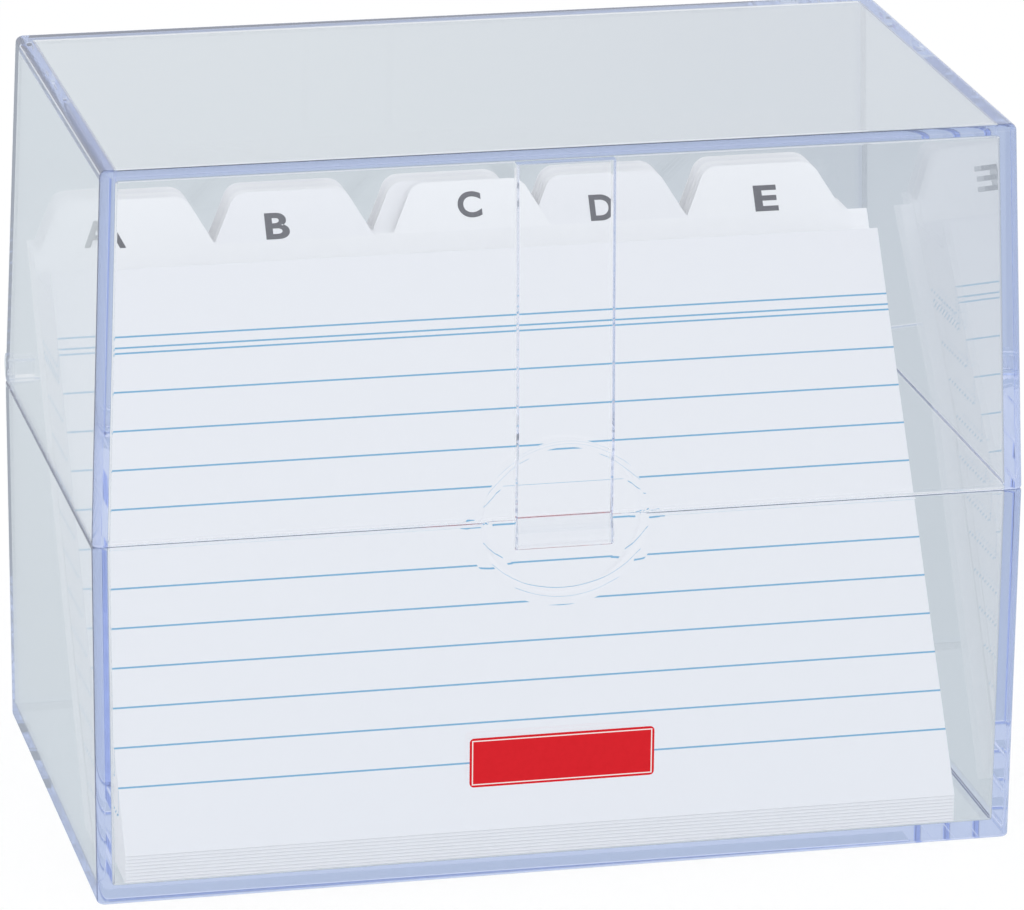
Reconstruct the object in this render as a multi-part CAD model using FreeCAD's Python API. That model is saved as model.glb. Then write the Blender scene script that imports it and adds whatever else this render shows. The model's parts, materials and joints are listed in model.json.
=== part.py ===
import FreeCAD, Part
import math
import os
from FreeCAD import Placement, Rotation, Vector

# Clear hinged box for A6 index cards, with a snap tongue and a filed deck of cards.
# Millimetres. X is the width, Y runs from front to back, Z is up.
# The origin is the middle of the flat bottom that the box stands on.

# Box shells
WIDTH = 163.5
DEPTH = 98.0
BASE_HEIGHT = 64.8
LID_HEIGHT = 65.0
PARTING_GAP = 0.05          # between the rims of the closed shells
WALL = 2.8
FLOOR = 2.8
CEILING = 2.2
BASE_DRAFT = 0.3            # how far each base wall leans in at the bottom
LID_DRAFT = 2.4             # how far each lid wall leans in at the top
CORNER_RADIUS = 1.5         # of the upright outer edges
INNER_CORNER_RADIUS = 0.5
INNER_EDGE_RADIUS = 0.5
TOP_EDGE_RADIUS = 1.2
BOTTOM_EDGE_RADIUS = 0.6
RIM_RADIUS = 0.5            # of the outer edge of each rim, at the seam

# Thumb recess, a shallow round dish that both shells share
RECESS_RADIUS = 14.8
RECESS_DEPTH = 0.9
RECESS_RIM = 2.2            # width of the curved rim inside the recess
BACKING_RISE = 0.25         # how far the wall swells inwards behind the recess
BACKING_OVERHANG = 4.2      # how far that swelling runs past the recess
BACKING_RIM = 7.0           # width of the gentle slope round it

# Snap tongue in the lid front and its notch in the base
TONGUE_WIDTH = 16.3
TONGUE_SLOT = 0.45
TONGUE_DROP = 5.0
TONGUE_THICKNESS = 1.2      # of the end that hangs below the lid rim
TONGUE_ROOT_GAP = 0.10
TONGUE_RIM_GAP = 0.25       # over the rim of the base, which it sweeps as it flexes
TONGUE_ROOT_MARGIN = 0.15   # between the ceiling and the root of the tongue
NOTCH_CLEARANCE = 0.4
NOTCH_BACK_GAP = 0.10
LIP_EXTRA_WIDTH = 0.7
LIP_REACH = 0.6             # how far the finger lip stands out past the front wall
LIP_TOP = 2.0               # below the seam
LIP_CHAMFER = 0.6

# Snap hinges at the two back corners
HINGE_OFFSET = 3.0          # axis behind the back wall
HINGE_LIFT = 1.0            # axis above the seam
KNUCKLE_RADIUS = 2.75
PIN_RADIUS = 1.3
PIN_CLEARANCE = 0.06
PIN_RECESS = 0.3
EAR_WIDTH = 3.2
ARM_WIDTH = 3.6
EAR_INSET = 0.9             # from the side wall to the outer face of the ear
HINGE_SIDE_GAP = 0.15
HINGE_ROOT = 1.0            # how deep ears and arms run into the back wall

# Cards and dividers
CARD_WIDTH = 148.0
CARD_HEIGHT = 105.0
CARD_THICKNESS = 0.32
LOOSE_CARDS = 10            # at the front of the pack, each with a node of its own
BUNDLES = 10                # behind them
BUNDLE_SIZE = 4
DIVIDER_HEIGHT = 107.6
DIVIDER_THICKNESS = 0.25
TAB_HEIGHT = 9.3
TAB_TOP_WIDTH = 20.0
TAB_RADIUS = 3.4
TAB_FOOT_RADIUS = 1.0
TAB_MARGIN = 1.0
TABS_PER_ROW = 5
DIVIDER_ROWS = ("a b c d e", "f g h i j", "k l m n o", "p q r s t", "u v w xy z")
SLIPPED_DIVIDER = "c"
SLIP = 3.6                  # to the right of the others
SHEET_GAP = 0.02
ROW_GAP = 0.06
WALL_GAP = 0.12
FLOOR_GAP = 0.03
SIDE_GAP = 0.3
BACK_GAP = 0.3
FRONT_CARD_RISE = 5.2       # the first card stands this high up the front wall
HEEL_GAP = 2.0              # along the floor, between the cards' heel and the first divider
TIP_GAP = 0.15              # between the last card's top edge and the first divider

# Blank label on the base front
LABEL_WIDTH = 32.8
LABEL_HEIGHT = 9.0
LABEL_THICKNESS = 0.12
LABEL_RADIUS = 0.8
LABEL_CENTRE_HEIGHT = 21.3

# Values worked out from those above
SEAM = BASE_HEIGHT
TOP = BASE_HEIGHT + LID_HEIGHT
FRONT = -DEPTH / 2
BACK = DEPTH / 2
AXIS_Y = BACK + HINGE_OFFSET
AXIS_Z = SEAM + HINGE_LIFT
BEYOND = 1.0                # how far a cutting shape runs past what it cuts
SLACK = 0.01                # how far an edge's box may stray from its real height

os.makedirs("parts", exist_ok=True)


def export(name, shape):
    """Write one node and say what it holds."""
    shape.exportStep(f"parts/{name}.step")
    print(f"{name}: {len(shape.Solids)} solid, {shape.Volume:.1f} mm3, valid {shape.isValid()}")


def box(x0, x1, y0, y1, z0, z1):
    """A box between two corners."""
    return Part.makeBox(x1 - x0, y1 - y0, z1 - z0, Vector(x0, y0, z0))


def frustum(lower, upper):
    """A four-sided block with flat drafted walls, between two (half width, half depth, z)."""
    def ring(half_width, half_depth, z):
        return [
            Vector(-half_width, -half_depth, z),
            Vector(half_width, -half_depth, z),
            Vector(half_width, half_depth, z),
            Vector(-half_width, half_depth, z),
        ]

    def face(points):
        return Part.Face(Part.makePolygon(points + points[:1]))

    low = ring(*lower)
    high = ring(*upper)
    faces = [face(low[::-1]), face(high)]
    for i in range(4):
        j = (i + 1) % 4
        faces.append(face([low[i], low[j], high[j], high[i]]))
    return Part.Solid(Part.Shell(faces))


def upright_edges(solid):
    """The four corner edges of a frustum."""
    return [e for e in solid.Edges if abs(e.tangentAt(e.FirstParameter).z) > 0.5]


def rim_edges(solid, z):
    """The edges that lie flat at a height."""
    return [e for e in solid.Edges if max(abs(e.BoundBox.ZMin - z), abs(e.BoundBox.ZMax - z)) < SLACK]


def inset(z):
    """How far the outer walls have leaned in at a height."""
    if z < SEAM:
        return BASE_DRAFT * (SEAM - z) / BASE_HEIGHT
    return LID_DRAFT * (z - SEAM) / LID_HEIGHT


def section(z, skin, height=None):
    """Half width, half depth and height of the walls' section at z, a skin deep inside them."""
    taken = inset(z) + skin
    return (WIDTH / 2 - taken, DEPTH / 2 - taken, z if height is None else height)


def base_block(skin=0.0):
    """The outer shape of the base, without its rounded edges."""
    return frustum(section(0.0, skin), section(SEAM, skin))


def shell(outer, hollow, far, far_radius, hollow_far):
    """One open moulding: a rounded block with a rounded hollow that is open at the seam."""
    outer = outer.makeFillet(CORNER_RADIUS, upright_edges(outer))
    outer = outer.makeFillet(far_radius, rim_edges(outer, far))
    outer = outer.makeFillet(RIM_RADIUS, rim_edges(outer, SEAM))
    hollow = hollow.makeFillet(INNER_CORNER_RADIUS, upright_edges(hollow))
    hollow = hollow.makeFillet(INNER_EDGE_RADIUS, rim_edges(hollow, hollow_far))
    return outer.cut(hollow)


def turned(profile):
    """Turn a closed outline of (radius, distance behind the front plane) about the recess axis."""
    edges = []
    for piece in profile:
        points = [Vector(r, FRONT + d, SEAM) for r, d in piece]
        if len(points) == 2:
            edges.append(Part.makeLine(*points))
        else:
            edges.append(Part.Arc(*points).toShape())
    face = Part.Face(Part.Wire(edges))
    return face.revolve(Vector(0, FRONT, SEAM), Vector(0, 1, 0), 360)


def rim_arc(flat_radius, edge_radius, flat, edge):
    """Three points of an arc that leaves a flat floor smoothly and ends at an edge."""
    width = edge_radius - flat_radius
    height = abs(edge - flat)
    radius = (width * width + height * height) / (2 * height)
    angle = math.asin(width / radius) / 2
    direction = math.copysign(1.0, edge - flat)
    middle = (flat_radius + radius * math.sin(angle), flat + direction * radius * (1 - math.cos(angle)))
    return [(flat_radius, flat), middle, (edge_radius, edge)]


def recess():
    """The dish to cut from the front walls."""
    flat_radius = RECESS_RADIUS - RECESS_RIM
    return turned([
        [(0, -BEYOND), (0, RECESS_DEPTH)],
        [(0, RECESS_DEPTH), (flat_radius, RECESS_DEPTH)],
        rim_arc(flat_radius, RECESS_RADIUS, RECESS_DEPTH, 0.0),
        [(RECESS_RADIUS, 0.0), (RECESS_RADIUS, -BEYOND)],
        [(RECESS_RADIUS, -BEYOND), (0, -BEYOND)],
    ])


def backing():
    """The swelling behind the dish, whose slope leaves the wall and its own crest smoothly."""
    outer_radius = RECESS_RADIUS + BACKING_OVERHANG
    flat_radius = outer_radius - BACKING_RIM
    slope_radius = outer_radius - BACKING_RIM / 2
    middle_of_wall = WALL / 2
    crest = WALL + BACKING_RISE
    slope_middle = WALL + BACKING_RISE / 2
    return turned([
        [(0, middle_of_wall), (0, crest)],
        [(0, crest), (flat_radius, crest)],
        rim_arc(flat_radius, slope_radius, crest, slope_middle),
        rim_arc(outer_radius, slope_radius, WALL, slope_middle)[::-1],
        [(outer_radius, WALL), (outer_radius, middle_of_wall)],
        [(outer_radius, middle_of_wall), (0, middle_of_wall)],
    ])


def above_seam(shape, gap=PARTING_GAP):
    return shape.common(box(-WIDTH, WIDTH, -DEPTH, DEPTH, SEAM + gap, SEAM + TOP))


def below_seam(shape):
    return shape.common(box(-WIDTH, WIDTH, -DEPTH, DEPTH, SEAM - TOP, SEAM))


def across(x0, x1, points):
    """A prism along X from a list of (distance behind the front plane, height above the seam)."""
    corners = [Vector(x0, FRONT + d, SEAM + z) for d, z in points]
    face = Part.Face(Part.makePolygon(corners + corners[:1]))
    return face.extrude(Vector(x1 - x0, 0, 0))


def barrel(radius, x0, x1):
    """A round bar on the hinge axis."""
    return Part.makeCylinder(radius, x1 - x0, Vector(x0, AXIS_Y, AXIS_Z), Vector(1, 0, 0))


# Hinge places on the left side, outer to inner; the right side is their mirror image.
EAR_X0 = -WIDTH / 2 + EAR_INSET
EAR_X1 = EAR_X0 + EAR_WIDTH
ARM_X0 = EAR_X1 + HINGE_SIDE_GAP
ARM_X1 = ARM_X0 + ARM_WIDTH


def both_sides(shape):
    return [shape, shape.mirror(Vector(0, 0, 0), Vector(1, 0, 0))]


def base_ear():
    """The base half of a hinge: a drilled knuckle and the foot that joins it to the back wall."""
    running_gap = HINGE_OFFSET - KNUCKLE_RADIUS
    foot = box(EAR_X0, EAR_X1, BACK - HINGE_ROOT, AXIS_Y, AXIS_Z - KNUCKLE_RADIUS, SEAM)
    neck = box(EAR_X0, EAR_X1, BACK + running_gap, AXIS_Y, SEAM, AXIS_Z)
    return barrel(KNUCKLE_RADIUS, EAR_X0, EAR_X1).fuse([foot, neck])


def base_ear_hole():
    return barrel(PIN_RADIUS + PIN_CLEARANCE, EAR_X0 - BEYOND, EAR_X1 + HINGE_SIDE_GAP)


def lid_arm():
    """The lid half of a hinge: an arm with its moulded pin."""
    foot_bottom = SEAM + HINGE_SIDE_GAP
    foot = box(ARM_X0, ARM_X1, BACK - HINGE_ROOT, AXIS_Y, foot_bottom, AXIS_Z + KNUCKLE_RADIUS)
    pin = barrel(PIN_RADIUS, EAR_X0 + PIN_RECESS, ARM_X0)
    return barrel(KNUCKLE_RADIUS, ARM_X0, ARM_X1).fuse([foot, pin])


def tongue_slab(x_margin):
    """The part of the lid front that the tongue takes, from below the seam to its root."""
    half = TONGUE_WIDTH / 2 + x_margin
    through = FRONT + LID_DRAFT + WALL + BACKING_RISE + BEYOND
    root = TOP - CEILING - TONGUE_ROOT_MARGIN
    return box(-half, half, FRONT - BEYOND, through, SEAM - BEYOND, root)


def tongue_end():
    """The end below the seam, with its finger lip."""
    half = TONGUE_WIDTH / 2
    back = RECESS_DEPTH + TONGUE_THICKNESS
    stem = across(-half, half, [(RECESS_DEPTH, BEYOND), (back, BEYOND), (back, -TONGUE_DROP),
                                (RECESS_DEPTH, -TONGUE_DROP)])
    half += LIP_EXTRA_WIDTH / 2
    lip = across(-half, half, [
        (RECESS_DEPTH, 0.0),
        (RECESS_DEPTH - LIP_CHAMFER, -LIP_TOP / 2),
        (-LIP_REACH, -LIP_TOP),
        (-LIP_REACH, LIP_CHAMFER - TONGUE_DROP),
        (LIP_CHAMFER - LIP_REACH, -TONGUE_DROP),
        (RECESS_DEPTH, -TONGUE_DROP),
    ])
    return stem.fuse(lip)


def notch():
    """The pocket in the base rim that the tongue end drops into."""
    half = TONGUE_WIDTH / 2 + NOTCH_CLEARANCE
    depth = RECESS_DEPTH + TONGUE_THICKNESS + NOTCH_BACK_GAP
    bottom = SEAM - TONGUE_DROP - NOTCH_CLEARANCE
    return box(-half, half, FRONT - BEYOND, FRONT + depth, bottom, SEAM + BEYOND)


def base_tray():
    hollow = frustum(section(FLOOR, WALL), section(SEAM, WALL, SEAM + BEYOND))
    tray = shell(base_block(), hollow, 0.0, BOTTOM_EDGE_RADIUS, FLOOR)
    tray = tray.fuse(below_seam(backing())).cut(recess()).cut(notch())
    tray = tray.fuse(both_sides(base_ear()))
    for hole in both_sides(base_ear_hole()):
        tray = tray.cut(hole)
    return tray.removeSplitter()


def lid_shell():
    """The lid before its tongue is cut free."""
    ceiling = TOP - CEILING
    block = frustum(section(SEAM, 0.0), section(TOP, 0.0))
    hollow = frustum(section(SEAM, WALL, SEAM - BEYOND), section(ceiling, WALL))
    moulding = shell(block, hollow, TOP, TOP_EDGE_RADIUS, ceiling)
    return above_seam(moulding.fuse(above_seam(backing())).cut(recess()))


def lid():
    return lid_shell().cut(tongue_slab(TONGUE_SLOT)).fuse(both_sides(lid_arm())).removeSplitter()


def latch_tongue():
    slab = tongue_slab(0.0)
    slab.translate(Vector(0, 0, -TONGUE_ROOT_GAP))
    strip = above_seam(lid_shell().common(slab), TONGUE_RIM_GAP)
    return strip.fuse(tongue_end()).removeSplitter()


def front_label():
    """A thin blank label that lies on the drafted front wall of the base."""
    half = LABEL_WIDTH / 2
    low = LABEL_CENTRE_HEIGHT - LABEL_HEIGHT / 2
    window = box(-half, half, FRONT - BEYOND, 0, low, low + LABEL_HEIGHT)
    along_y = [e for e in window.Edges if abs(e.tangentAt(e.FirstParameter).y) > 0.5]
    window = window.makeFillet(LABEL_RADIUS, along_y)
    return base_block(-LABEL_THICKNESS).cut(base_block()).common(window)


def outline(points):
    """A closed wire in the XZ plane from (x, z, corner radius), its corners rounded by arcs."""
    edges = []
    count = len(points)
    ends = []
    for i, (x, z, radius) in enumerate(points):
        here = Vector(x, 0, z)
        before = (Vector(points[i - 1][0], 0, points[i - 1][1]) - here).normalize()
        after = (Vector(points[(i + 1) % count][0], 0, points[(i + 1) % count][1]) - here).normalize()
        if radius <= 0:
            ends.append((here, None, here))
            continue
        half_angle = before.getAngle(after) / 2
        start = here + before * (radius / math.tan(half_angle))
        end = here + after * (radius / math.tan(half_angle))
        towards = (before + after).normalize()
        middle = here + towards * (radius / math.sin(half_angle) - radius)
        ends.append((start, middle, end))
    for i, (start, middle, end) in enumerate(ends):
        if middle is not None:
            edges.append(Part.Arc(start, middle, end).toShape())
        edges.append(Part.makeLine(end, ends[(i + 1) % count][0]))
    return Part.Wire(edges)


def card_sheet():
    """A card standing upright, its lower front edge on the X axis."""
    return box(0, CARD_WIDTH, 0, CARD_THICKNESS, 0, CARD_HEIGHT)


def divider_sheet(place):
    """A divider standing upright, with one tab at a place counted from the left."""
    pitch = (CARD_WIDTH - 2 * TAB_MARGIN) / TABS_PER_ROW
    foot_left = TAB_MARGIN + place * pitch
    foot_right = foot_left + pitch
    slope = (pitch - TAB_TOP_WIDTH) / 2
    crown = DIVIDER_HEIGHT + TAB_HEIGHT
    wire = outline([
        (0, 0, 0),
        (CARD_WIDTH, 0, 0),
        (CARD_WIDTH, DIVIDER_HEIGHT, 0),
        (foot_right, DIVIDER_HEIGHT, TAB_FOOT_RADIUS),
        (foot_right - slope, crown, TAB_RADIUS),
        (foot_left + slope, crown, TAB_RADIUS),
        (foot_left, DIVIDER_HEIGHT, TAB_FOOT_RADIUS),
        (0, DIVIDER_HEIGHT, 0),
    ])
    return Part.Face(wire).extrude(Vector(0, DIVIDER_THICKNESS, 0))


# How the deck leans. A plane of the deck is known by its distance behind the first one.
DECK_LEFT = -section(TOP - CEILING, WALL)[0] + SIDE_GAP
IN_CORNER = max(0.0, INNER_CORNER_RADIUS - section(FLOOR, WALL)[0] - DECK_LEFT)
CORNER_STANDS_OUT = INNER_CORNER_RADIUS - math.sqrt(INNER_CORNER_RADIUS**2 - IN_CORNER**2)
FRONT_LINE = -section(FLOOR, WALL)[1] + CORNER_STANDS_OUT + WALL_GAP
CARD_PITCH = CARD_THICKNESS + SHEET_GAP
DIVIDER_PITCH = DIVIDER_THICKNESS + SHEET_GAP
ROW_PITCH = TABS_PER_ROW * DIVIDER_PITCH + ROW_GAP
CARD_COUNT = LOOSE_CARDS + BUNDLES * BUNDLE_SIZE


def cards_heel(lean):
    """Where the plane behind the last card meets the floor, for cards at a lean."""
    deck = CARD_COUNT * CARD_PITCH
    return FRONT_LINE - FRONT_CARD_RISE * math.tan(lean) + deck / math.cos(lean)


def row_foot(row, lean):
    """Where the first divider of a row stands, along Y."""
    return cards_heel(lean) + HEEL_GAP + row * ROW_PITCH / math.cos(lean)


def back_room(lean):
    """How far the last divider's tab stays off the back wall."""
    foot = row_foot(len(DIVIDER_ROWS), lean) - ROW_GAP / math.cos(lean)
    length = DIVIDER_HEIGHT + TAB_HEIGHT
    height = FLOOR + length * math.cos(lean)
    return section(height, WALL)[1] - (foot + length * math.sin(lean))


def solved(function, wanted, low, high):
    """The place between low and high where a falling function takes the wanted value."""
    for _ in range(60):
        middle = (low + high) / 2
        if function(middle) > wanted:
            low = middle
        else:
            high = middle
    return (low + high) / 2


DIVIDER_LEAN = solved(back_room, BACK_GAP, 0.0, math.radians(60))
CARD_LEAN = DIVIDER_LEAN + math.asin((HEEL_GAP * math.cos(DIVIDER_LEAN) - TIP_GAP) / CARD_HEIGHT)


def leaned(sheet, lean, y, z, slip=0.0):
    """Tip an upright sheet back and stand its lower front edge at a place."""
    moved = sheet.copy()
    turn = Rotation(Vector(1, 0, 0), -math.degrees(lean))
    moved.Placement = Placement(Vector(DECK_LEFT + slip, y, z), turn)
    return moved


def held_up(y, z):
    """How far the rounded inner corner holds a card's lower edge up, measured along the card."""
    from_centre_y = y + section(FLOOR, WALL)[1] - INNER_EDGE_RADIUS
    from_centre_z = z - FLOOR - INNER_EDGE_RADIUS
    if from_centre_y >= 0 or from_centre_z >= 0:
        return 0.0
    along = from_centre_y * math.sin(CARD_LEAN) + from_centre_z * math.cos(CARD_LEAN)
    aside = from_centre_y * math.cos(CARD_LEAN) - from_centre_z * math.sin(CARD_LEAN)
    radius = INNER_EDGE_RADIUS - WALL_GAP
    return max(0.0, -along - math.sqrt(max(0.0, radius * radius - aside * aside)))


def ruled_card(index):
    """A card of the front pack: it stands on the floor, or higher against the front wall."""
    behind = index * CARD_PITCH
    against_wall = FLOOR + FRONT_CARD_RISE - behind / math.sin(CARD_LEAN)
    on_floor = FLOOR + FLOOR_GAP + CARD_THICKNESS * math.sin(CARD_LEAN)
    z = max(against_wall, on_floor)
    fallen = FLOOR + FRONT_CARD_RISE - z
    y = FRONT_LINE + (behind - fallen * math.sin(CARD_LEAN)) / math.cos(CARD_LEAN)
    rear_y = y + CARD_THICKNESS * math.cos(CARD_LEAN)
    rear_z = z - CARD_THICKNESS * math.sin(CARD_LEAN)
    raised = max(held_up(y, z), held_up(rear_y, rear_z))
    y += raised * math.sin(CARD_LEAN)
    z += raised * math.cos(CARD_LEAN)
    return leaned(card_sheet(), CARD_LEAN, y, z)


def card_bundle(number):
    """Neighbouring cards from behind the loose ones, each a solid of its own."""
    first = LOOSE_CARDS + number * BUNDLE_SIZE
    return Part.Compound([ruled_card(first + i) for i in range(BUNDLE_SIZE)])


def divider(row, place, letter):
    slip = SLIP if letter == SLIPPED_DIVIDER else 0.0
    z = FLOOR + FLOOR_GAP + DIVIDER_THICKNESS * math.sin(DIVIDER_LEAN)
    along_floor = place * DIVIDER_PITCH / math.cos(DIVIDER_LEAN)
    raised = (z - FLOOR) * math.tan(DIVIDER_LEAN)
    y = row_foot(row, DIVIDER_LEAN) + along_floor + raised
    return leaned(divider_sheet(place), DIVIDER_LEAN, y, z, slip)


export("base_tray", base_tray())
export("lid", lid())
export("latch_tongue", latch_tongue())
export("front_label", front_label())
for card_index in range(LOOSE_CARDS):
    export(f"ruled_card_{card_index + 1:02d}", ruled_card(card_index))
for bundle_index in range(BUNDLES):
    export(f"ruled_card_bundle_{bundle_index + 1:02d}", card_bundle(bundle_index))
for row_index, row_letters in enumerate(DIVIDER_ROWS):
    for tab_place, letter in enumerate(row_letters.split()):
        export(f"divider_{letter}", divider(row_index, tab_place, letter))

print(f"hinge axis y {AXIS_Y:.3f} z {AXIS_Z:.3f}")
print(f"lean of dividers {math.degrees(DIVIDER_LEAN):.3f}, of cards {math.degrees(CARD_LEAN):.3f} degrees")
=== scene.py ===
# %% [markdown]
# # A clear box of index cards
# The object is a hinged box of clear polystyrene with a deck of ruled cards and lettered
# dividers leaning back in it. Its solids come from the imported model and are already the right
# size and in the right place. This file gives them their finishes and adds what is printed.
# All lengths in Blender are metres, and the sizes named here are millimetres times MM.

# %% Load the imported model
import json
import math

import bpy
import numpy as np
from mathutils import Matrix, Vector

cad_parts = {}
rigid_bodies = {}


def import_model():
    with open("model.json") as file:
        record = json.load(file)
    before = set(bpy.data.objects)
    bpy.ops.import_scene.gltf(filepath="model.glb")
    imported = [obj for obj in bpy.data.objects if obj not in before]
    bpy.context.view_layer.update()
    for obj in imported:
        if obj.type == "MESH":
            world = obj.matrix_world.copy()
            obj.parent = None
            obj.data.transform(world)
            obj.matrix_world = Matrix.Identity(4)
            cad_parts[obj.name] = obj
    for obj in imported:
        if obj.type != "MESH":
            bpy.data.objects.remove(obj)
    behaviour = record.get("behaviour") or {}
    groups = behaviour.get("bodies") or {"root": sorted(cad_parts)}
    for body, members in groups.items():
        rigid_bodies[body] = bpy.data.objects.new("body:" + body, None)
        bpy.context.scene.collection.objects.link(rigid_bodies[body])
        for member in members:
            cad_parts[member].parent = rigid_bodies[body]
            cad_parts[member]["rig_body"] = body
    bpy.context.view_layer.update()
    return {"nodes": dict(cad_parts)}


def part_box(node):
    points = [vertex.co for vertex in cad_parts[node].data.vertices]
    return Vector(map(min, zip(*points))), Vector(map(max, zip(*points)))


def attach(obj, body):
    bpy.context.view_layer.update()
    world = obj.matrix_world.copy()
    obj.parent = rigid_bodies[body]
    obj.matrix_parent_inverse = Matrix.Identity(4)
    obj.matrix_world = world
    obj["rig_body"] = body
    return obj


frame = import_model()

MM = 0.001
nodes = frame["nodes"]

# %% [markdown]
# ## The camera
# A camera can be aimed with a constraint or with angles. Here it is set from two angles round
# the box, a small roll and a place, because those are what one chooses with a real camera.
# A long lens from over a metre away keeps the upright edges of the box almost parallel.

# %% Camera from its angles
AZIMUTH, ELEVATION, ROLL = (math.radians(a) for a in (-13.04, 18.08, 0.56))
CAMERA_PLACE = Vector((-251.1, -1092.3, 426.5)) * MM
FOCAL_PIXELS, FRAME_PIXELS = 6621.7, 1024
SENSOR_WIDTH = 36
FARTHEST_SEEN = 100


def camera_axes(azimuth, elevation, roll):
    """The camera looks along minus its third axis, which has the given azimuth and elevation.
    The first two axes are level and upright, turned about the third by the roll."""
    back = Vector((
        math.sin(azimuth) * math.cos(elevation),
        -math.cos(azimuth) * math.cos(elevation),
        math.sin(elevation),
    ))
    right = Vector((0, 0, 1)).cross(back).normalized()
    up = back.cross(right)
    turned_right = right * math.cos(roll) + up * math.sin(roll)
    turned_up = up * math.cos(roll) - right * math.sin(roll)
    return turned_right, turned_up, back


lens = bpy.data.cameras.new("camera")
camera = bpy.data.objects.new("camera", lens)
bpy.context.scene.collection.objects.link(camera)
lens.sensor_width = SENSOR_WIDTH
lens.lens = FOCAL_PIXELS / FRAME_PIXELS * SENSOR_WIDTH
lens.clip_end = FARTHEST_SEEN
turn = Matrix(camera_axes(AZIMUTH, ELEVATION, ROLL)).transposed()
camera.matrix_world = Matrix.Translation(CAMERA_PLACE) @ turn.to_4x4()
bpy.context.scene.camera = camera
print("camera", round(lens.lens), "mm lens,", round(CAMERA_PLACE.length, 2), "m from the box")

# %% [markdown]
# ## How the sheets stand
# Every card and divider is a flat sheet that leans back. Its printing has to follow the sheet,
# so each finish needs to know where the sheet's lower front edge is and which way it rises.
# Both can be read from the mesh: the foremost corner is the foot, and the highest is the crown.

# %% Read a sheet's foot and its rise
def corners(mesh):
    """All the corners of a mesh, as an array of points."""
    points = np.empty(len(mesh.vertices) * 3, np.float32)
    mesh.vertices.foreach_get("co", points)
    return points.reshape(-1, 3)


def sheet_line(name):
    """The foot (y, z) of a sheet's front face, the unit rise (y, z) and its length."""
    points = corners(nodes[name].data).astype(float)
    foot = points[points[:, 1].argmin(), 1:]
    crown = points[points[:, 2].argmax(), 1:]
    length = float(np.linalg.norm(crown - foot))
    return foot, (crown - foot) / length, length


CARD_NAMES = sorted(n for n in nodes if n.startswith("ruled_card_"))
DIVIDER_NAMES = sorted(n for n in nodes if n.startswith("divider_"))
CARD_RISE = sheet_line(CARD_NAMES[0])[1]
print("cards lean back by", round(math.degrees(math.atan2(*CARD_RISE)), 2), "degrees")
print(len(CARD_NAMES), "card nodes and", len(DIVIDER_NAMES), "dividers")

# %% [markdown]
# ## Small helpers for materials
# A material is a graph of nodes. One helper adds a node, sets it and links it, so that each
# finish below reads as a list of steps. Colours are written as the hex values that a screen
# shows and turned to the linear values that light adds up in.

# %% Colour and node helpers
def linear(hex_colour):
    """sRGB hex to linear: below 0.04045 divide by 12.92, else ((c + 0.055) / 1.055) ^ 2.4."""
    values = [int(hex_colour[i:i + 2], 16) / 255 for i in (0, 2, 4)]
    return [c / 12.92 if c <= 0.04045 else ((c + 0.055) / 1.055) ** 2.4 for c in values] + [1]


def add(tree, kind, inputs=(), **settings):
    """Add one node. Its inputs come in order or by name. Each is a number, a colour, a socket to
    link, or a node, which stands for its first output."""
    node = tree.nodes.new(kind)
    for name, value in settings.items():
        setattr(node, name, value)
    for name, value in inputs.items() if isinstance(inputs, dict) else enumerate(inputs):
        if isinstance(value, bpy.types.Node):
            value = value.outputs[0]
        if isinstance(value, bpy.types.NodeSocket):
            tree.links.new(value, node.inputs[name])
        else:
            node.inputs[name].default_value = value
    return node


def new_material(name):
    """A material with one Principled shader, and the two nodes a finish starts from."""
    material = bpy.data.materials.new(name)
    material.use_nodes = True
    tree = material.node_tree
    return material, tree, tree.nodes["Principled BSDF"]


def dress(name, material):
    """Give a node its finish by replacing what is in its material slot."""
    nodes[name].data.materials.clear()
    nodes[name].data.materials.append(material)


WHITE = linear("FFFFFF")
MATH = "ShaderNodeMath"
print("mid grey in light is", [round(c, 3) for c in linear("808080")[:3]])

# %% [markdown]
# ## Clear polystyrene, injection moulded
# Crystal polystyrene is as clear as glass and bends light more, with an index of 1.59. The
# mould's polish leaves it smooth, so it has no roughness to speak of. Its faint blue shows only
# where light runs a long way inside a wall, as along the edges, so the colour belongs in the
# volume and not on the surface: red light is soaked up a little. The volume also gives off a
# faint pale blue glow per metre. This is painted light, because the plastic is no lamp: it stands
# in for the light that the wall gathers and leads to its edges. A path tracer counts every
# bounce inside such a wall, and the usual dozen leaves the edges black, so the number of
# bounces goes up. Light on its way to or from a dull surface goes straight through, because a
# clear wall casts hardly any shadow, and bending such light would only add noise.

# %% Clear polystyrene
POLYSTYRENE_IOR = 1.59
SOAKED_COLOUR, SOAKED_PER_METRE = linear("A2B7E3"), 8.0
# painted light: the wall's volume glows pale blue, though the plastic is no lamp
PAINTED_GLOW_COLOUR, PAINTED_GLOW_PER_METRE = linear("C4CCE7"), 1.9
LET_THROUGH = linear("FDFEFE")
BOUNCES_IN_A_WALL = 32
SURFACES_IN_A_ROW = 16

clear, tree, shader = new_material("clear_polystyrene_moulded")
shader.inputs["Base Color"].default_value = WHITE
shader.inputs["Transmission Weight"].default_value = 1.0
shader.inputs["IOR"].default_value = POLYSTYRENE_IOR
shader.inputs["Roughness"].default_value = 0.0
result = tree.nodes["Material Output"]
soaked = add(tree, "ShaderNodeVolumeAbsorption", {
    "Color": SOAKED_COLOUR, "Density": SOAKED_PER_METRE,
})
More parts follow.
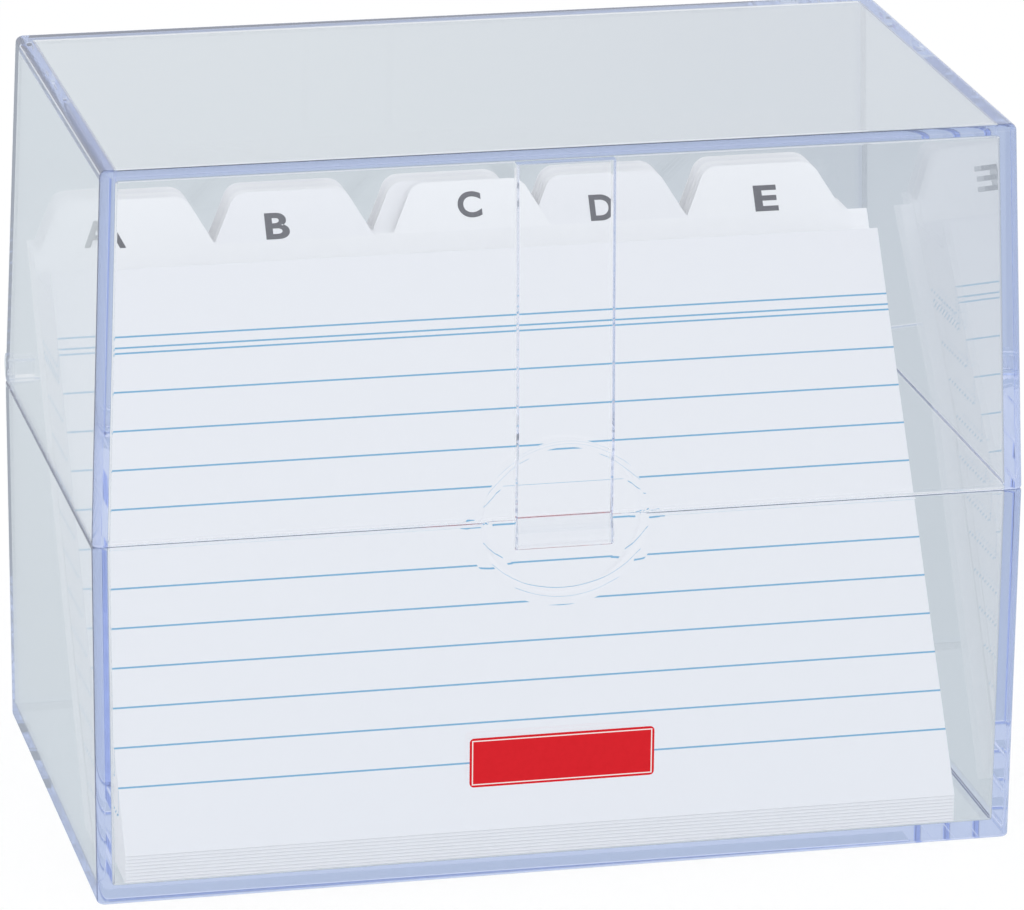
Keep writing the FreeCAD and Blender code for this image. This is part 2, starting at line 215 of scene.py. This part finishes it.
# painted light: an emission inside the clear walls that stands in for light led to the edges
painted_glow = add(tree, "ShaderNodeEmission", {"Color": PAINTED_GLOW_COLOUR, "Strength": PAINTED_GLOW_PER_METRE})
soaked_and_painted_glow = add(tree, "ShaderNodeAddShader", (soaked, painted_glow))
tree.links.new(soaked_and_painted_glow.outputs[0], result.inputs["Volume"])
path = add(tree, "ShaderNodeLightPath")
passing = add(tree, "ShaderNodeBsdfTransparent", {"Color": LET_THROUGH})
to_lamp, to_dull = path.outputs["Is Shadow Ray"], path.outputs["Is Diffuse Ray"]
lighting = add(tree, MATH, (to_lamp, to_dull), operation="MAXIMUM")
wall = add(tree, "ShaderNodeMixShader", (lighting, shader, passing))
tree.links.new(wall.outputs[0], result.inputs["Surface"])
for shell_name in ("base_tray", "lid", "latch_tongue"):
    dress(shell_name, clear)
cycles = bpy.context.scene.cycles
cycles.max_bounces = BOUNCES_IN_A_WALL
cycles.glossy_bounces = BOUNCES_IN_A_WALL
cycles.transmission_bounces = BOUNCES_IN_A_WALL
cycles.transparent_max_bounces = SURFACES_IN_A_ROW
print("clear polystyrene on the base, the lid and the snap tongue")

# %% [markdown]
# ## Ruled index cards
# Index cards are smooth white card, offset printed in light blue. The ruling could be thin
# strips of mesh, but print has no thickness, so it is worked out in the material: the height of
# a point above the card's foot, measured along the card, decides whether it is ink or bare card.
# Two head rules lie just above the first rule, and the other rules follow about 7 mm apart.
# Each card stands in its own place, so each has its own foot in the sum.

# %% Ruled card stock
CARD_HEIGHT = 105.0
RULE_WIDTH = 0.32
RULE_PITCH = 7.05
RULES = 12
FIRST_RULE = 15.4
LAST_RULE = FIRST_RULE + (RULES - 1) * RULE_PITCH
HEAD_RULES = (12.4, 14.4)
CARD_WHITE, RULE_BLUE = "EEEEF1", "74AFD3"
CARD_ROUGHNESS, CARD_SPECULAR = 0.6, 0.35
FIBRE_CLUMP = 1.2
FIBRE_DETAIL = 3.0
FIBRE_SHADE = 0.985
FIBRE_TOOTH, TOOTH_STRENGTH = 0.02, 0.15


def height_on_sheet(tree, foot, rise):
    """Millimetres from the foot along the sheet: the point minus the foot, dotted with the rise."""
    place = add(tree, "ShaderNodeTexCoord").outputs["Object"]
    parts = add(tree, "ShaderNodeSeparateXYZ", (place,))
    behind = add(tree, MATH, (parts.outputs["Y"], float(foot[0])), operation="SUBTRACT")
    above = add(tree, MATH, (parts.outputs["Z"], float(foot[1])), operation="SUBTRACT")
    behind = add(tree, MATH, (behind, float(rise[0]) / MM), operation="MULTIPLY")
    above = add(tree, MATH, (above, float(rise[1]) / MM), operation="MULTIPLY")
    return place, add(tree, MATH, (behind, above), operation="ADD")


def card_finish(tree, shader, place, bare):
    """Uncoated stock: fibres a few tenths of a millimetre long show as a faint cloud and tooth.
    They are drawn three times as coarse as they are, so that they show at all."""
    fibres = add(tree, "ShaderNodeTexNoise", {
        "Vector": place, "Scale": 1 / (FIBRE_CLUMP * MM), "Detail": FIBRE_DETAIL,
    })
    shade = add(tree, "ShaderNodeMapRange", {0: fibres, 3: FIBRE_SHADE, 4: 1.0})
    toned = add(tree, "ShaderNodeMix", {0: 1.0, 6: bare, 7: shade},
                data_type="RGBA", blend_type="MULTIPLY")
    tree.links.new(toned.outputs[2], shader.inputs["Base Color"])
    tooth = add(tree, "ShaderNodeBump", {
        "Height": fibres, "Strength": TOOTH_STRENGTH, "Distance": FIBRE_TOOTH * MM,
    })
    tree.links.new(tooth.outputs[0], shader.inputs["Normal"])
    shader.inputs["Roughness"].default_value = CARD_ROUGHNESS
    shader.inputs["Specular IOR Level"].default_value = CARD_SPECULAR


def ruled_card_stock(name, foot):
    """White card with blue rules. A rule is wherever the distance to the nearest line of the
    pitch is under half its width, between the first and the last line."""
    material, tree, shader = new_material(name)
    place, height = height_on_sheet(tree, foot, CARD_RISE)
    depth = add(tree, MATH, (CARD_HEIGHT, height), operation="SUBTRACT")
    from_first = add(tree, MATH, (depth, FIRST_RULE), operation="SUBTRACT")
    off_line = add(tree, MATH, (from_first, RULE_PITCH / 2), operation="PINGPONG")
    ink = add(tree, MATH, (off_line, RULE_WIDTH / 2), operation="LESS_THAN")
    below_head = add(tree, MATH, (depth, FIRST_RULE - RULE_WIDTH), operation="GREATER_THAN")
    above_foot = add(tree, MATH, (depth, LAST_RULE + RULE_WIDTH), operation="LESS_THAN")
    ruled = add(tree, MATH, (below_head, above_foot), operation="MULTIPLY")
    ink = add(tree, MATH, (ink, ruled), operation="MULTIPLY")
    for rule in HEAD_RULES:
        off_rule = add(tree, MATH, (depth, rule), operation="SUBTRACT")
        off_rule = add(tree, MATH, (off_rule,), operation="ABSOLUTE")
        on_rule = add(tree, MATH, (off_rule, RULE_WIDTH / 2), operation="LESS_THAN")
        ink = add(tree, MATH, (ink, on_rule), operation="MAXIMUM")
    printed = add(tree, "ShaderNodeMix", {0: ink, 6: linear(CARD_WHITE), 7: linear(RULE_BLUE)},
                  data_type="RGBA")
    card_finish(tree, shader, place, printed.outputs[2])
    return material


for card_name in CARD_NAMES:
    dress(card_name, ruled_card_stock(card_name + "_offset_printed", sheet_line(card_name)[0]))
print(RULES, "rules on a card,", FIRST_RULE, "to", round(LAST_RULE, 1), "mm below its top edge")

# %% [markdown]
# ## Divider board
# The dividers are cut from a whiter board than the cards, unprinted but for the letter on each
# tab. Part of that whiteness is painted light: the board is given a lighter tone to stand in
# for the brighter light that falls on the tabs high in the box. The tone also differs a little
# from sheet to sheet, because boards come from different parts of a batch, and that is what
# lets the eye tell the tabs apart.

# %% White divider board
# partly painted light: these near whites are raised to stand in for the brighter light on the tabs
BOARD_TONES_AND_PAINTED_LIGHT = ("F7F7F8", "F4F4F6", "F9F9FA", "F5F5F7")
TONE_STEP = 3


def divider_board(name, tone):
    """Plain board in one of a few near whites, with the same fibres as the cards."""
    material, tree, shader = new_material(name)
    place = add(tree, "ShaderNodeTexCoord").outputs["Object"]
    card_finish(tree, shader, place, linear(tone))
    return material


boards = [divider_board(f"divider_board_{i + 1}", tone) for i, tone in enumerate(BOARD_TONES_AND_PAINTED_LIGHT)]
for index, divider_name in enumerate(DIVIDER_NAMES):
    dress(divider_name, boards[(index * TONE_STEP) % len(boards)])
print(len(DIVIDER_NAMES), "dividers in", len(boards), "tones of board")

# %% [markdown]
# ## The tab letters
# Each tab carries its letter of the alphabet in plain bold capitals, printed in grey ink. Ink is
# a film on the board, so a letter is a flat mesh that lies a hundredth of a millimetre off it.
# A text object makes the outline, which is turned to a mesh first and then laid on the tab.
# The letters are spaced a little more closely than the tabs, each place has a small shift of
# its own, and the C is printed higher, because printing and die-cutting are separate steps.

# %% Letters on the tabs
TABS_PER_ROW = 5
CAP_HEIGHT = 4.95
CAP_WIDTH = 4.4
NARROW_LETTER = 2.5
OUTLINE_SIZE = 10
BOLDER_BY = 0.3
LETTER_SPACING = 1.12
LETTER_DROP = 6.6
LETTER_PITCH = 29.2
LETTER_SHIFTS = (-4.0, -2.9, 0.0, -1.1, 0.6)
PRINTED_HIGHER = {"c": 2.0}
INK_FILM = 0.012
INK_CLOUD = 0.5
INK_GREYS, INK_ROUGHNESS = ("646368", "6E6D73"), 0.55

ink, tree, shader = new_material("grey_offset_ink")
cloud = add(tree, "ShaderNodeTexNoise", {
    "Vector": add(tree, "ShaderNodeTexCoord").outputs["Object"], "Scale": 1 / (INK_CLOUD * MM),
})
darker, lighter = map(linear, INK_GREYS)
grey = add(tree, "ShaderNodeMix", {0: cloud, 6: darker, 7: lighter}, data_type="RGBA")
tree.links.new(grey.outputs[2], shader.inputs["Base Color"])
shader.inputs["Roughness"].default_value = INK_ROUGHNESS


def letter_mesh(text):
    """The flat outline of a text, centred on the origin and scaled to the cap height in mm. A
    letter that comes out narrower than the cap width is stretched to it, apart from I and J."""
    curve = bpy.data.curves.new("letter", "FONT")
    curve.body = text
    curve.size = OUTLINE_SIZE
    curve.offset = BOLDER_BY
    curve.space_character = LETTER_SPACING
    made = bpy.data.objects.new("letter", curve)
    bpy.context.scene.collection.objects.link(made)
    bpy.context.view_layer.update()
    mesh = bpy.data.meshes.new_from_object(made)
    bpy.data.objects.remove(made)
    points = corners(mesh)
    low, high = points.min(0), points.max(0)
    points = (points - (low + high) / 2) * (CAP_HEIGHT / (high[1] - low[1]))
    width = points[:, 0].max() - points[:, 0].min()
    if width > NARROW_LETTER:
        points[:, 0] *= max(1.0, CAP_WIDTH / width)
    return mesh, points


def print_letter(divider_name, place):
    """Lay a letter on its tab: x runs across the sheet, the letter's y runs up the rise, and the
    film stands off along the sheet's front normal, which is the rise turned a quarter."""
    text = divider_name.split("_")[1]
    mesh, points = letter_mesh(text.upper())
    foot, rise, length = sheet_line(divider_name)
    low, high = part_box(divider_name)
    middle = (low.x + high.x) / 2 / MM + LETTER_SHIFTS[place]
    across = middle + (place - (TABS_PER_ROW - 1) / 2) * LETTER_PITCH + points[:, 0]
    along = length / MM - LETTER_DROP + PRINTED_HIGHER.get(text, 0.0) + points[:, 1]
    y = foot[0] / MM + along * rise[0] - INK_FILM * rise[1]
    z = foot[1] / MM + along * rise[1] + INK_FILM * rise[0]
    placed = np.stack([across, y, z], 1) * MM
    mesh.vertices.foreach_set("co", placed.astype(np.float32).ravel())
    mesh.update()
    mesh.name = "tab_letter_" + text
    mesh.materials.clear()
    mesh.materials.append(ink)
    piece = bpy.data.objects.new("tab_letter_" + text, mesh)
    bpy.context.scene.collection.objects.link(piece)
    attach(piece, nodes[divider_name]["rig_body"])
    return piece


letters = [print_letter(name, i % TABS_PER_ROW) for i, name in enumerate(DIVIDER_NAMES)]
print("printed", "".join(o.name.split("_")[2].upper() + " " for o in letters))

# %% [markdown]
# ## The label
# A small red paper label is stuck low on the front of the base. Here it is blank: a satin red
# field with a thin white line a little inside its edge, as many plain labels have. The line is
# worked out in the material from the distance to the nearest side of the label. The light comes
# from so many sides that the label neither darkens nor tints the cards behind it, so it is left
# out of shadows and of bounced light.

# %% Red label with a white line
KEYLINE_INSET = 0.5
KEYLINE_WIDTH = 0.2
KEYLINE_WHITE, LABEL_REDS = "F3E9E4", ("D11A23", "DA1F29")
LABEL_ROUGHNESS, LABEL_SPECULAR = 0.45, 0.1
LABEL_FIBRE_CLUMP = 0.9

label, tree, shader = new_material("red_printed_label_paper")
low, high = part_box("front_label")
place = add(tree, "ShaderNodeTexCoord").outputs["Object"]
parts = add(tree, "ShaderNodeSeparateXYZ", (place,))


def inside_edge(axis, first, last):
    """Millimetres to the nearer of two sides: half the span minus the distance to its middle."""
    from_middle = add(tree, MATH, (parts.outputs[axis], (first + last) / 2), operation="SUBTRACT")
    away = add(tree, MATH, (from_middle,), operation="ABSOLUTE")
    away = add(tree, MATH, (away, 1 / MM), operation="MULTIPLY")
    return add(tree, MATH, ((last - first) / 2 / MM, away), operation="SUBTRACT")


sides = inside_edge("X", low.x, high.x), inside_edge("Z", low.z, high.z)
to_edge = add(tree, MATH, sides, operation="MINIMUM")
off_line = add(tree, MATH, (to_edge, KEYLINE_INSET), operation="SUBTRACT")
off_line = add(tree, MATH, (off_line,), operation="ABSOLUTE")
on_line = add(tree, MATH, (off_line, KEYLINE_WIDTH / 2), operation="LESS_THAN")
fibres = add(tree, "ShaderNodeTexNoise", {
    "Vector": place, "Scale": 1 / (LABEL_FIBRE_CLUMP * MM), "Detail": FIBRE_DETAIL,
})
darker, lighter = map(linear, LABEL_REDS)
field = add(tree, "ShaderNodeMix", {0: fibres, 6: darker, 7: lighter}, data_type="RGBA")
printed = add(tree, "ShaderNodeMix", {0: on_line, 6: field.outputs[2], 7: linear(KEYLINE_WHITE)},
              data_type="RGBA")
tree.links.new(printed.outputs[2], shader.inputs["Base Color"])
shader.inputs["Roughness"].default_value = LABEL_ROUGHNESS
shader.inputs["Specular IOR Level"].default_value = LABEL_SPECULAR
dress("front_label", label)
nodes["front_label"].visible_shadow = False
nodes["front_label"].visible_diffuse = False
print("label", np.round(np.array(high - low) / MM, 2).tolist(), "mm")

# %% [markdown]
# ## Floor, light and surroundings
# The box stands on a plain white floor in soft light. A clear box shows what is round it, so the
# surroundings matter as much as the lamps. Seen directly, the floor is white paper. Seen in a
# wall or through one, it shows a painted reflection instead: a cool grey that the white paper
# does not have, with painted shade that leaves it lighter on the side of the lamp and darker
# towards the other side, and that is what makes a clear wall stand out from white. The
# surroundings above it are white low down and a cool grey overhead. All of them light the box
# evenly, and one large soft panel on the left gives the light a side.

# %% Floor
FLOOR_HALF = 3.0
FLOOR_DROP = 0.3
SHOWN_SHARE = 0.85
# painted reflection and painted shade: cool greys that the floor shows only in or through a wall,
# lighter towards the lamp
PAINTED_REFLECTION_TONES = {-0.30: "E2E9ED", -0.08: "C7D0D6", 0.07: "C1CBD1", 0.24: "AEB8C4"}


def ways_seen(tree):
    """Two factors for rays that have met no dull surface yet. The first is one for a ray that
    was reflected or passed through a wall, and the second also for one straight from the eye."""
    ray = add(tree, "ShaderNodeLightPath")
    unscattered = add(tree, MATH, (ray.outputs["Diffuse Depth"], 0.5), operation="LESS_THAN")
    glossy, passed = ray.outputs["Is Glossy Ray"], ray.outputs["Is Transmission Ray"]
    bounced = add(tree, MATH, (glossy, passed), operation="MAXIMUM")
    bounced = add(tree, MATH, (bounced, unscattered), operation="MULTIPLY")
    return bounced, add(tree, MATH, (ray.outputs["Is Camera Ray"], bounced), operation="MAXIMUM")


square = np.array([(-1, -1, 0), (1, -1, 0), (1, 1, 0), (-1, 1, 0)], float) * FLOOR_HALF
floor_mesh = bpy.data.meshes.new("floor")
floor_mesh.from_pydata((square - (0, 0, FLOOR_DROP * MM)).tolist(), [], [(0, 1, 2, 3)])
floor = bpy.data.objects.new("floor", floor_mesh)
bpy.context.scene.collection.objects.link(floor)
paper, tree, shader = new_material("white_paper_backdrop")
shader.inputs["Base Color"].default_value = WHITE
shader.inputs["Roughness"].default_value = 1.0
shader.inputs["Specular IOR Level"].default_value = 0.0
bounced, seen = ways_seen(tree)
across = add(tree, "ShaderNodeSeparateXYZ", (add(tree, "ShaderNodeTexCoord").outputs["Object"],))
first, last = min(PAINTED_REFLECTION_TONES), max(PAINTED_REFLECTION_TONES)
way_across = add(tree, "ShaderNodeMapRange", {0: across.outputs["X"], 1: first, 2: last})
painted_reflection_ramp = add(tree, "ShaderNodeValToRGB", (way_across,))
stops = painted_reflection_ramp.color_ramp.elements
while len(stops) < len(PAINTED_REFLECTION_TONES):
    stops.new(0.5)
for stop, (place, colour) in zip(stops, PAINTED_REFLECTION_TONES.items()):
    stop.position = (place - first) / (last - first)
    stop.color = linear(colour)
# painted reflection: rays off or through a wall see the painted grey tones, while direct views see
# white
tone = add(tree, "ShaderNodeMix", {0: bounced, 6: WHITE, 7: painted_reflection_ramp}, data_type="RGBA")
bright = add(tree, "ShaderNodeEmission", {"Color": tone.outputs[2], "Strength": 1.0})
share = add(tree, MATH, (seen, SHOWN_SHARE), operation="MULTIPLY")
shown = add(tree, "ShaderNodeMixShader", (share, shader, bright))
tree.links.new(shown.outputs[0], tree.nodes["Material Output"].inputs["Surface"])
floor_mesh.materials.append(paper)
print("floor", 2 * FLOOR_HALF, "m wide")

# %% Surroundings and lamp
LIGHTING_STRENGTH = 0.991
LIGHTING_COLOUR = linear("FBFCFF")
LOW_SKY, HIGH_SKY = WHITE, linear("C5D0DA")
SKY_TURNS_GREY = (0.12, 0.5)
KEY_PLACE, KEY_SIZE, KEY_WATTS = (-0.8, -1.4, 1.9), 2.0, 5.5
MIDDLE_OF_THE_BOX = (0, 0, 0.06)

world = bpy.data.worlds.new("studio")
bpy.context.scene.world = world
world.use_nodes = True
tree = world.node_tree
background = tree.nodes["Background"]
towards_sky = add(tree, "ShaderNodeTexCoord").outputs["Generated"]
height = add(tree, "ShaderNodeMapRange", {
    0: add(tree, "ShaderNodeSeparateXYZ", (towards_sky,)).outputs["Z"],
    1: SKY_TURNS_GREY[0], 2: SKY_TURNS_GREY[1],
})
sky = add(tree, "ShaderNodeMix", {0: height, 6: LOW_SKY, 7: HIGH_SKY}, data_type="RGBA")
seen = ways_seen(tree)[1]
level = add(tree, "ShaderNodeMapRange", {0: seen, 3: LIGHTING_STRENGTH, 4: 1.0})
tree.links.new(level.outputs[0], background.inputs["Strength"])
lit = add(tree, "ShaderNodeMix", {0: seen, 6: LIGHTING_COLOUR, 7: sky.outputs[2]}, data_type="RGBA")
tree.links.new(lit.outputs[2], background.inputs["Color"])

lamp = bpy.data.lights.new("key_panel", "AREA")
lamp.size = KEY_SIZE
lamp.energy = KEY_WATTS
panel = bpy.data.objects.new("key_panel", lamp)
bpy.context.scene.collection.objects.link(panel)
panel.location = KEY_PLACE
towards_box = Vector(MIDDLE_OF_THE_BOX) - Vector(KEY_PLACE)
panel.rotation_euler = towards_box.to_track_quat("-Z", "Y").to_euler()
panel.visible_camera = False
bpy.context.scene.view_settings.view_transform = "Standard"
print("world strength", LIGHTING_STRENGTH, "and one panel of", KEY_WATTS, "W")
